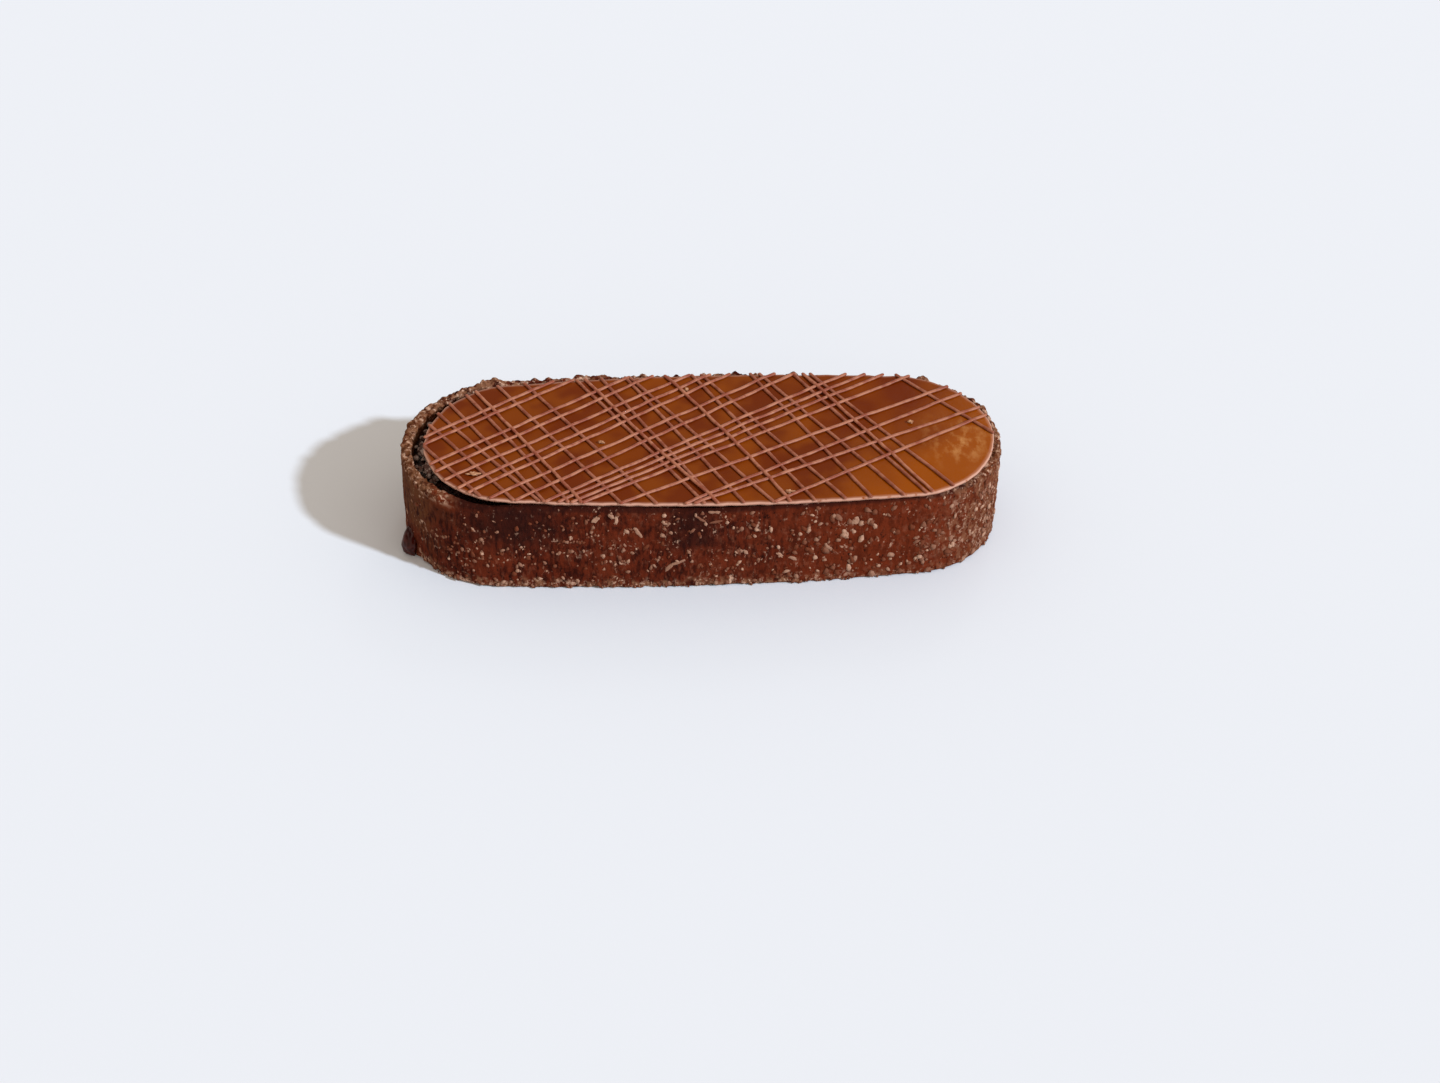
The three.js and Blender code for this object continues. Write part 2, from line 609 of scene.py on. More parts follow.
@dataclass(frozen=True)
class BakedPastry:
    """Dark baked shortcrust: matte and dry, red-brown, with paler grains where it crumbled."""

    deep: str = "#300c05"
    body: str = "#5c210f"
    warm: str = "#6c2b15"
    red: str = "#742d12"
    smear: str = "#7c4632"
    brown: str = "#5e371e"
    tan: str = "#83573e"
    # Cream: real pale flecks, and also the painted highlight on the rim's lumps.
    cream: str = "#cba288"
    # The colour of the painted shade in the pits.
    painted_pit_shade: str = "#1e0a06"
    # Dark scorch, also used as painted shade on the front rim under the plaque's edge.
    scorched_and_shaded: str = "#280e0a"
    roughness: float = 0.85

    def make(self) -> Material:
        """The material. It reads the mesh's marks 'crumbly', 'browned', 'reddened', and the scorch
        mark, which also carries painted shade.

        Returns:
            The material.
        """
        p = Palette("baked_shortcrust_pastry")
        crumbly = p.attribute("crumbly")
        streaks = p.noise(0.9, 4.0, (1.0, 1.0, 3.0))
        colour = p.mix(p.band(streaks, 0.36, 0.62), self.deep, self.body)
        colour = p.mix(p.band(p.noise(6.0, 3.0), 0.45, 0.7, 0.6), colour, self.warm)
        colour = p.mix(p.attribute("reddened"), colour, self.red)
        smears = p.band(p.noise(1.1, 2.0, (1.0, 1.0, 1.8)), 0.54, 0.74, 0.45)
        colour = p.mix(smears, colour, self.smear)
        brown = p.times(p.attribute("browned"), p.band(streaks, 0.3, 0.6))
        colour = p.mix(brown, colour, self.brown)
        # The scorch mark also carries painted shade on the front rim under the plaque's edge.
        scorch_and_shade = p.times(p.attribute("scorch_and_shade"), 0.85)
        colour = p.mix(scorch_and_shade, colour, self.scorched_and_shaded)
        tan_spots = p.band(p.noise(1.4, 5.0, (1.0, 1.0, 1.3)), 0.44, 0.58)
        colour = p.mix(p.times(crumbly, tan_spots), colour, self.tan)
        fine = p.noise(0.75, 4.0, (1.0, 1.0, 1.5))
        specks = p.band(fine, 0.58, 0.68)
        clusters = p.band(p.noise(4.5, 3.0), 0.48, 0.64, 0.7)
        share = p.calculate("MAXIMUM", clusters, crumbly)
        colour = p.mix(p.times(specks, share), colour, self.cream)
        # Painted highlight: cream on the tops of the crumbly rim's lumps.
        lumps = p.times(p.band(p.noise(1.5, 3.0), 0.55, 0.66, 0.75), crumbly)
        colour = p.mix(lumps, colour, self.cream)
        # Painted shade: the low points of the fine bump are darkened as if they lay in shade.
        pits = p.calculate("SUBTRACT", 1.0, p.band(fine, 0.3, 0.42))
        colour = p.mix(p.times(pits, 0.8), colour, self.painted_pit_shade)
        normal = p.bump(p.noise(0.9, 5.0), 0.25)
        normal = p.bump(fine, 0.12, normal)
        return p.finish(colour, self.roughness, normal, specular=0.05)


@dataclass(frozen=True)
class PastryGrain:
    """Loose grains of pale baked dough: dry, matte, pinkish cream to tan."""

    name: str = "pale_pastry_grains"
    low: str = "#6a3622"
    high: str = "#c49a80"
    roughness: float = 0.85

    def make(self) -> Material:
        """The material. It reads the mark 'tone' from the mesh.

        Returns:
            The material.
        """
        p = Palette(self.name)
        colour = p.mix(p.attribute("tone"), self.low, self.high)
        colour = p.mix(p.band(p.noise(0.4), 0.35, 0.65, 0.35), colour, self.low)
        return p.finish(colour, self.roughness, p.bump(p.noise(0.3), 0.06), specular=0.05)


@dataclass(frozen=True)
class StickyFilling:
    """Baked nut and sugar filling: dark, lumpy, with the half gloss of set syrup."""

    dark: str = "#1a0806"
    light: str = "#4a2418"
    roughness: float = 0.45

    def make(self) -> Material:
        """The material.

        Returns:
            The material.
        """
        p = Palette("sticky_nut_filling")
        colour = p.mix(p.band(p.noise(1.4, 4.0), 0.4, 0.7), self.dark, self.light)
        return p.finish(colour, self.roughness, p.bump(p.noise(0.8), 0.3))


@dataclass(frozen=True)
class ChoppedPecan:
    """Roasted pecan: dry, ridged, brown skin with greyish cut flesh."""

    skin: str = "#5a3428"
    flesh: str = "#b09a90"
    roughness: float = 0.7

    def make(self) -> Material:
        """The material.

        Returns:
            The material.
        """
        p = Palette("chopped_roasted_pecan")
        colour = p.mix(p.band(p.noise(0.9, 4.0), 0.42, 0.6), self.skin, self.flesh)
        return p.finish(colour, self.roughness, p.bump(p.noise(0.4), 0.15))


@dataclass(frozen=True)
class CaramelChocolate:
    """A thin sheet of set caramel chocolate: smooth, satin, paler where its edge was cut."""

    red: str = "#6a2806"
    brown: str = "#7e3908"
    amber: str = "#944600"
    deep: str = "#6a2400"
    # The colour of the painted highlight, a soft pale sheen.
    pale: str = "#c88c50"
    cut: str = "#c69580"
    roughness: float = 0.28

    def make(self) -> Material:
        """The material. It reads the mesh's marks 'amber', 'ruddy' and 'cut', and the mark of the
        painted highlight, a soft pale sheen at the right end.

        Returns:
            The material.
        """
        p = Palette("set_caramel_chocolate")
        colour = p.mix(p.band(p.noise(9.0, 2.0), 0.4, 0.6), self.red, self.brown)
        colour = p.mix(p.attribute("ruddy"), colour, self.deep)
        colour = p.mix(p.attribute("amber"), colour, self.amber)
        # Painted highlight: soft pale streaks of sheen on the right end.
        painted_sheen = p.band(p.noise(2.6, 5.0, (1.0, 1.8, 1.0)), 0.45, 0.68, 0.75)
        colour = p.mix(p.times(painted_sheen, p.attribute("painted_sheen")), colour, self.pale)
        edge = p.times(p.attribute("cut"), p.band(p.noise(1.2, 3.0), 0.2, 0.45))
        colour = p.mix(edge, colour, self.cut)
        normal = p.bump(p.noise(2.5, 3.0), 0.03)
        return p.finish(colour, self.roughness, normal, specular=0.05)


@dataclass(frozen=True)
class PipedChocolate:
    """Fine piped milk chocolate: satin, pinkish brown, a little uneven along its run."""

    name: str = "piped_milk_chocolate"
    dark: str = "#8e4630"
    light: str = "#b07054"
    roughness: float = 0.4

    def make(self) -> Material:
        """The material.

        Returns:
            The material.
        """
        p = Palette(self.name)
        colour = p.mix(p.band(p.noise(2.2, 3.0), 0.35, 0.65), self.dark, self.light)
        return p.finish(colour, self.roughness, p.bump(p.noise(0.5), 0.03), specular=0.25)


@dataclass(frozen=True)
class BurntSugar:
    """A drip of dark boiled sugar: smooth and glossy."""

    dark: str = "#380f0b"
    light: str = "#5c2018"
    roughness: float = 0.3

    def make(self) -> Material:
        """The material.

        Returns:
            The material.
        """
        p = Palette("dark_sugar_drip")
        colour = p.mix(p.band(p.noise(1.2), 0.4, 0.7, 0.6), self.dark, self.light)
        return p.finish(colour, self.roughness, p.bump(p.noise(0.9), 0.1), specular=0.25)


# === The pastry case, its filling and the nuts ===


@dataclass
class PastryCase:
    """The baked case, with its crumbly rim and foot, and the pale grains that stick to it."""

    pitch: float = 0.32
    wall: float = 2.4
    base: float = 3.0
    rim_radius: float = 0.9
    foot_radius: float = 0.5
    left_radius: float = 21.0
    right_radius: float = 19.3
    side_reach: float = 22.3
    hole_pitch: float = 2.0
    fine_depth: float = 5.0
    rim_depth: float = 4.0
    left_drop: float = 0.6
    middle_drop: float = 0.7
    back_rise: float = 1.1
    grains: int = 1900
    clumping: float = 0.4
    seed: int = 11
    cover: Oblong = field(kw_only=True)
    outline: Oblong = field(init=False)
    height: float = field(init=False)

    def __post_init__(self) -> None:
        """Takes the case's length and height from the frame."""
        low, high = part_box("pastry_case")
        half = (high[0] - low[0]) / 2 / MM
        self.height = high[2] / MM
        self.outline = Oblong(
            RoundEnd(self.left_radius - half, 0, self.left_radius),
            RoundEnd(half - self.right_radius, 0, self.right_radius),
            self.side_reach,
            self.side_reach,
        )

    def rings(self) -> list[Ring]:
        """The case's section, from the middle of its floor to the middle of its underside.

        Returns:
            The rings in order.
        """
        top = self.height
        lip = self.rim_radius
        foot = self.foot_radius
        quarter = [math.pi / 2 * step / 5 for step in range(5)]
        rings = chain_of_rings(
            Ring(self.wall, 1, self.base), 3, Ring(self.wall, 0, self.base), 3,
            Ring(self.wall, 0, top - self.fine_depth), 12, Ring(self.wall, 0, top - lip),
        )
        rings += [
            Ring(self.wall - lip * (1 - math.cos(angle)), 0, top - lip + lip * math.sin(angle))
            for angle in quarter
        ]
        rings += run_of_rings(Ring(self.wall - lip, 0, top), Ring(lip, 0, top), 5)
        rings += [
            Ring(lip * (1 - math.sin(angle)), 0, top - lip + lip * math.cos(angle))
            for angle in quarter
        ]
        steps = round((top - lip - foot) / self.pitch)
        rings += chain_of_rings(
            Ring(0, 0, top - lip), steps, Ring(0, 0, foot), 3, Ring(foot, 0, 0), 4, Ring(foot, 1, 0)
        )
        rings.append(Ring(foot, 1, 0))
        return rings

    def bare_rim(self, place: Vector) -> float:
        """1 where the rim shows beside the plaque, and 0 along the front, where it hides.

        Args:
            place: The point, in millimetres.

        Returns:
            The share, from 0 to 1.
        """
        left = 1.0 - smoothstep(-53, -47, place.x)
        back = smoothstep(0, 8, place.y)
        right = smoothstep(50, 57, place.x)
        return max(left, back, right)

    def crumbliness(self, place: Vector, normal: Vector) -> float:
        """How crumbled the surface is, from 0 on the smooth wall to 1 on the rim and foot.

        Args:
            place: The point, in millimetres.
            normal: The surface's normal there; not used.

        Returns:
            The share, from 0 to 1.
        """
        rim = smoothstep(self.height - 2.4, self.height - 0.6, place.z) * self.bare_rim(place)
        foot = 1.0 - smoothstep(0.9, 2.8, place.z + 1.6 * grain(place, 1.6, 3.0))
        foot *= 1.0 - 0.6 * smoothstep(15, 35, place.x)
        right = 0.6 * smoothstep(40, 56, place.x + 5 * grain(place, 5.0, 4.0))
        return min(1.0, max(rim, foot, right))

    def browning(self, place: Vector, normal: Vector) -> float:
        """How far the wall turned olive brown, from 0 to 1, at both ends.

        Args:
            place: The point, in millimetres.
            normal: The surface's normal there; not used.

        Returns:
            The share, from 0 to 1.
        """
        left = 1.0 - smoothstep(-57, -48, place.x + 3 * grain(place, 6.0, 16.0))
        left *= smoothstep(2, 13, place.z + 3 * grain(place, 4.0, 18.0))
        right = 0.6 * smoothstep(46, 58, place.x + 3 * grain(place, 6.0, 17.0))
        return max(left, right)

    def reddening(self, place: Vector, normal: Vector) -> float:
        """How red and pale the wall is, from 0 to 1: its right end and its front left corner.

        Args:
            place: The point, in millimetres.
            normal: The surface's normal there; not used.

        Returns:
            The share, from 0 to 1.
        """
        right = 0.4 * smoothstep(2, 30, place.x + 4 * grain(place, 5.0, 19.0))
        corner = bell(place.x, -50.5, 4.5) * smoothstep(16.5, 18.5, place.z)
        corner *= smoothstep(8, 12, -place.y)
        return max(right, corner)

    def scorch_and_rim_shade(self, place: Vector, normal: Vector) -> float:
        """How dark the surface baked, from 0 to 1, in two patches near the top of the front, plus
        painted shade on the rim top along the front, under the plaque's edge.

        Args:
            place: The point, in millimetres.
            normal: The surface's normal there.

        Returns:
            The share, from 0 to 1.
        """
        front = smoothstep(0.3, 0.8, -normal.y)
        ragged = 3.0 * grain(place, 4.0, 8.0)
        left_patch = bell(place.x + ragged, -38, 17) * smoothstep(7, 14, place.z + ragged * 0.5)
        middle_patch = bell(place.x + ragged, -2, 9) * smoothstep(8, 12, place.z + ragged * 0.5)
        # Painted shade: the rim top along the front is darkened as if the plaque's edge shadows it.
        painted_rim_shade = smoothstep(self.height - 1.2, self.height - 0.4, place.z)
        painted_rim_shade *= 1.0 - self.bare_rim(place)
        return min(1.0, max(front * left_patch, front * middle_patch * 0.9, painted_rim_shade * 0.9))

    def relief(self, place: Vector, normal: Vector) -> float:
        """How far the surface stands proud, in millimetres.

        Args:
            place: The point, in millimetres.
            normal: The surface's normal there.

        Returns:
            The distance, in millimetres.
        """
        crumbly = self.crumbliness(place, normal)
        wall = 1.0 - abs(normal.z)
        waves = 0.22 * grain(place, 9.0)
        lumps = grain(place, 1.7, 1.0)
        grit = grain(place, 0.8, 2.0)
        streak = grain(Vector((place.x, place.y, place.z / 4)), 1.0, 5.0)
        amount = waves + 0.1 * lumps + 0.06 * grit + 0.06 * streak * wall
        low_down = 1.0 - smoothstep(2.0, 5.0, place.z)
        amount += crumbly * (1.0 - 0.6 * low_down) * (0.85 * abs(lumps) + 0.35 * abs(grit) - 0.38)
        pits = max(0.0, grain(place, 1.2, 6.0) - 0.35)
        amount -= 0.6 * pits * (0.4 + crumbly)
        amount += 0.09 * self.dots(place, normal)
        return amount

    def dots(self, place: Vector, normal: Vector) -> float:
        """The faint raised dots that a perforated baking ring leaves on the front.

        Args:
            place: The point, in millimetres.
            normal: The surface's normal there.

        Returns:
            The share, from 0 to 1.
        """
        if normal.y > -0.9:
            return 0.0
        across = math.cos(2 * math.pi * place.x / self.hole_pitch)
        up = math.cos(2 * math.pi * place.z / self.hole_pitch)
        inside = bell(place.x, -20, 20) * bell(place.z, 10, 8)
        return max(0.0, across * up) * inside

    def lowered(self, place: Vector) -> float:
        """How much lower the rim is at the front, in millimetres, where a dark gap shows.

        Args:
            place: The point, in millimetres.

        Returns:
            The distance, in millimetres.
        """
        front = smoothstep(-10, -15, place.y)
        left_gap = smoothstep(-50, -46, place.x) * (1.0 - smoothstep(-42, -34, place.x))
        inner = smoothstep(0.7, 1.5, -self.outline.outside(place))
        middle_gap = bell(place.x, 0, 18)
        left = self.left_drop * left_gap * (0.15 + 0.85 * inner)
        return front * max(left, self.middle_drop * middle_gap)

    def raised(self, place: Vector) -> float:
        """How much higher the rim is behind the plaque, in millimetres, along the ragged back.

        Args:
            place: The point, in millimetres.

        Returns:
            The distance, in millimetres.
        """
        back = smoothstep(4, 10, place.y) * smoothstep(-52, -44, place.x)
        ragged = 0.7 + 0.6 * grain(place, 3.0, 14.0) + 0.4 * grain(place, 1.2, 15.0)
        beyond = smoothstep(0.1, 0.8, self.cover.outside(place))
        return self.back_rise * back * beyond * max(ragged, 0.0)

    def build(self, pastry: Material, grain_finish: Material) -> None:
        """Makes the case and its grains.

        Args:
            pastry: The case's material.
            grain_finish: The grains' material.
        """
        bm = built_round(self.outline, self.rings(), self.pitch)
        mark(bm, "crumbly", self.crumbliness)
        mark(bm, "browned", self.browning)
        mark(bm, "reddened", self.reddening)
        mark(bm, "scorch_and_shade", self.scorch_and_rim_shade)
        carve(bm, self.relief)
        top = self.height - self.rim_depth
        for vert in bm.verts:
            place = vert.co / MM
            if place.z > top:
                change = self.raised(place) - self.lowered(place)
                vert.co.z += change * (place.z - top) / self.rim_depth * MM
            vert.co.z = max(vert.co.z, 0.0)
        case = to_piece(bm, "baked_pastry_case", pastry)
        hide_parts("pastry_case")
        self.build_grains(grain_finish)

    def grain_density(self, place: Vector) -> float:
        """How thickly the grains lie, from 0 to 1.

        Args:
            place: The point, in millimetres.

        Returns:
            The share, from 0 to 1.
        """
        foot = 1.0 - smoothstep(0.6, 2.4, place.z)
        right = 0.45 * smoothstep(38, 54, place.x)
        clusters = smoothstep(-0.25, 0.45, grain(place, 3.4, 12.0))
        middle = bell(place.z, 10.5, 8.5) * clusters
        left_end = 1.0 - smoothstep(-55, -46, place.x)
        rows = 0.5 + 0.5 * math.cos(2 * math.pi * place.x / self.hole_pitch)
        spread = 0.22 + 0.3 * rows * smoothstep(-0.3, 0.3, grain(place, 6.0, 13.0))
        wall = max(middle * 0.8 + right * 0.6, spread) * (1 - 0.93 * left_end)
        return max(foot * 0.8, wall)

    def build_grains(self, finish: Material) -> bpy.types.Object:
        """The pale grains on the wall and round the foot.

        Args:
            finish: The material.

        Returns:
            The piece.
        """
        chance = random.Random(self.seed)
        stations = self.outline.stations(self.pitch)
        bm = bmesh.new()
        tone = bm.verts.layers.float.new("tone")
        made = 0
        index = 0
        z = 0.0
        while made < self.grains:
            if chance.random() < self.clumping:
                index += chance.randint(-2, 2)
                z += chance.gauss(0, 0.4)
            else:
                index = chance.randrange(len(stations))
                z = chance.uniform(0.25, self.height - 1.0)
            station = stations[index % len(stations)]
            out = (station.edge - station.spine).normalized().to_3d()
            z = min(max(z, 0.25), self.height - 1.0)
            place = station.edge.to_3d() + Vector((0, 0, z))
            if chance.random() > self.grain_density(place):
                continue
            size = 0.16 + 0.32 * chance.random() ** 1.7
            size *= 1.0 + 0.4 * smoothstep(4, 20, place.x)
            size = min(size, z)
            turn = out.to_track_quat("Z", "Y").to_matrix().to_4x4()
            roll = Matrix.Rotation(chance.gauss(0, 0.6), 4, "Z")
            shape = Matrix.Diagonal((size, size * chance.uniform(0.9, 1.9), size * 0.55, 1.0))
            sunk = place + out * (self.relief(place, out) + 0.02)
            matrix = Matrix.Scale(MM, 4) @ Matrix.Translation(sunk) @ turn @ roll @ shape
            added = bmesh.ops.create_icosphere(bm, subdivisions=1, radius=1.0, matrix=matrix)
            shade = chance.random() ** 2.4 * (0.7 if z < 1.8 else 1.0)
            for vert in added["verts"]:
                vert[tone] = shade
                vert.co += (vert.co - sunk * MM) * chance.uniform(-0.4, 0.4)
                vert.co.z = max(vert.co.z, 0.0)
            made += 1
        return to_piece(bm, "pastry_grains", finish)


@dataclass(frozen=True)
class Chip:
    """A pale chip on the front wall: its middle, its length and width, and its lean in degrees."""

    x: float
    z: float
    length: float
    width: float
    lean: float
    tone: float


FRONT_CHIPS = (
    Chip(-17.5, 17.5, 3.5, 0.6, 0, 0.95),
    Chip(-21.5, 17.5, 2.0, 1.0, 40, 0.7),
    Chip(-13.5, 14.5, 3.0, 0.8, -30, 0.6),
    Chip(-5.5, 6.5, 3.5, 0.7, 65, 0.5),
    Chip(-7.5, 5.0, 2.0, 0.9, 30, 0.45),
    Chip(1.5, 19.0, 2.5, 0.7, -85, 0.55),
    Chip(-1.5, 17.5, 3.0, 0.6, -50, 0.2),
    Chip(1.5, 16.5, 2.5, 0.6, 75, 0.15),
    Chip(14.5, 7.5, 2.0, 1.0, -40, 0.75),
    Chip(17.0, 6.5, 2.5, 0.8, -65, 0.6),
    Chip(29.0, 15.0, 1.8, 1.3, 20, 0.7),
)


@dataclass
class WallChips:
    """The few larger chips that stand out on the front wall."""

    proud: float = 0.16

    def build(self, case: PastryCase, finish: Material) -> None:
        """Makes the chips, each a ragged flat lump set into the wall.

        Args:
            case: The case that they stick to.
            finish: Their material.
        """
        bm = bmesh.new()
        tone = bm.verts.layers.float.new("tone")
        for chip in FRONT_CHIPS:
            front = Vector((chip.x, -case.side_reach, chip.z))
            out = Vector((0, -1, 0))
            front.y += case.outline.outside(front)
            front.y -= case.relief(front, out)
            matrix = (
                Matrix.Translation(front)
                @ Matrix.Rotation(math.radians(chip.lean), 4, "Y")
                @ Matrix.Diagonal((chip.width / 2, self.proud, chip.length / 2, 1.0))
            )
            added = bmesh.ops.create_icosphere(bm, subdivisions=3, radius=1.0, matrix=matrix)
            for vert in added["verts"]:
                ragged = 0.5 * grain(vert.co, 0.5, chip.x) + 0.5 * grain(vert.co, 1.1, chip.z)
                vert.co = (vert.co + (vert.co - front) * ragged) * MM
                vert[tone] = chip.tone
        to_piece(bm, "pale_wall_chips", finish)


@dataclass
class SugarDrip:
    """The drip of sugar that ran out and baked on at the foot of the left end."""

    x: float = -58.6
    y: float = -8.0
    radius: float = 2.1
    stretch: tuple[float, float, float] = (0.9, 1.5, 1.3)
    rise: float = 1.7

    def build(self, finish: Material) -> None:
        """Makes the drip as a few lumps run together.

        Args:
            finish: The material.
        """
        bm = bmesh.new()
        bmesh.ops.create_icosphere(bm, subdivisions=5, radius=1.0)
        for vert in bm.verts:
            lumps = 1.0 + 0.2 * grain(vert.co, 0.7, 3.0) + 0.1 * grain(vert.co, 0.35, 5.0)
            local = Vector(
                a * self.radius * b for a, b in zip(vert.co, self.stretch)
            ) * lumps
            local.z = max(local.z + self.rise, 0.0)
            vert.co = (Vector((self.x, self.y, 0)) + local) * MM
        bmesh.ops.recalc_face_normals(bm, faces=bm.faces)
        to_piece(bm, "sugar_drip", finish)


@dataclass
class NutFilling:
    """The filling, whose lumpy top shows only in the gap beside the plaque."""

    pitch: float = 0.6
    depth: float = 0.35
    clearance: float = 0.15
    settled: float = 0.5

    def build(self, case: PastryCase, finish: Material) -> None:
        """Makes the filling inside the case.

        Args:
            case: The pastry case.
            finish: The material.
        """
        low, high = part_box("pecan_filling")
        bottom = low[2] / MM
        top = high[2] / MM - self.settled
        inset = case.wall + self.clearance
        middle = Ring(inset, 1, top)
        rings = chain_of_rings(
            Ring(inset, 1, bottom), 3, Ring(inset, 0, bottom), 4, Ring(inset, 0, top), 30, middle
        )
        rings.append(middle)
        bm = built_round(case.outline, rings, self.pitch)
        bm.normal_update()
        for vert in bm.verts:
            place = vert.co / MM
            if vert.normal.z > 0.5:
                lump = abs(grain(place, 2.4, 9.0)) + 0.5 * abs(grain(place, 1.1, 10.0))
                vert.co.z += self.depth * (lump * 2 - 0.4) * MM
        filling = to_piece(bm, "baked_nut_filling", finish)
        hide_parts("pecan_filling")


def rough_lump(
    name: str,
    node: str,
    material: Material,
    seed: float,
    roughness: float,
    narrowed: float = 1.0,
) -> bpy.types.Object:
    """An irregular broken lump that fills a CAD node's box.

    Args:
        name: The piece's name.
        node: The CAD node that it stands for.
        material: Its material.
        seed: Makes the lump differ from the others.
        roughness: How far its points move, as a share of its radius.
        narrowed: How wide it is across, as a share of the node's box.

    Returns:
        The lump.
    """
    low, high = (Vector(corner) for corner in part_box(node))
    middle = (low + high) / 2
    half = (high - low) / 2
    half.y *= narrowed
    bm = bmesh.new()
    bmesh.ops.create_icosphere(bm, subdivisions=4, radius=1.0)
    for vert in bm.verts:
        broken = 1.0 + roughness * grain(vert.co, 0.7, seed) + 0.4 * roughness * grain(
            vert.co, 0.3, seed + 2
        )
        vert.co = middle + Vector(a * b for a, b in zip(vert.co * broken, half))
        vert.co.z = max(vert.co.z, low.z - 0.1 * MM)
    tone = bm.verts.layers.float.new("tone")
    for vert in bm.verts:
        vert[tone] = 0.6 + 0.5 * grain(vert.co / MM, 0.6, seed)
    bmesh.ops.recalc_face_normals(bm, faces=bm.faces)
    piece = to_piece(bm, name, material)
    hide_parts(node)
    return piece


@dataclass
class NutBits:
    """Small broken bits of nut on the filling, in the gap round the left end of the plaque."""

    count: int = 90
    arc: tuple[float, float] = (105, 215)
    spread: float = 3.0
    seed: int = 5

    def build(self, case: PastryCase, finish: Material) -> None:
        """Scatters the bits between the case's wall and the plaque.

        Args:
            case: The pastry case.
            finish: The material.
        """
        chance = random.Random(self.seed)
        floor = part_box("pecan_filling")[1][2] / MM
        bm = bmesh.new()
        for _ in range(self.count):
            angle = math.radians(chance.uniform(*self.arc))
            inset = chance.uniform(case.wall + 0.2, case.wall + self.spread)
            reach = case.left_radius - inset
            size = chance.uniform(0.35, 0.85)
            matrix = (
                Matrix.Scale(MM, 4)
                @ Matrix.Translation((
                    case.outline.left.x + reach * math.cos(angle),
                    reach * math.sin(angle),
                    floor + size * chance.uniform(0.0, 0.8),
                ))
                @ Matrix.Rotation(chance.uniform(0, math.pi), 4, "Z")
                @ Matrix.Diagonal((size, size * chance.uniform(0.6, 1.0), size * 0.8, 1.0))
            )
            added = bmesh.ops.create_icosphere(bm, subdivisions=2, radius=1.0, matrix=matrix)
            for vert in added["verts"]:
                bump = 0.3 * grain(vert.co / MM, 0.6, 2.0)
                vert.co += (vert.co - matrix.translation) * bump
        to_piece(bm, "chopped_nut_bits", finish)


def nodes_named(start: str) -> list[str]:
    """The CAD nodes whose names begin with start, in order."""
    return sorted(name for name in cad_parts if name.startswith(start))


def build_nuts(case: PastryCase, finish: Material) -> None:
    """Makes the chopped pecan pieces in the gap.

    Args:
        case: The pastry case.
        finish: The material.
    """
    NutBits().build(case, finish)
    for index, node in enumerate(nodes_named("pecan_piece")):
        piece = rough_lump(f"chopped_{node}", node, finish, 4.0 + index, roughness=0.5)


def build_crumbs(finish: Material) -> None:
    """Makes the loose crumbs on the plaque.

    Args:
        finish: The material.
    """
    for index, node in enumerate(nodes_named("pastry_crumb")):
        piece = rough_lump(f"loose_{node}", node, finish, 20.0 + index, 0.9, narrowed=0.55)


# === The plaque and the strands ===


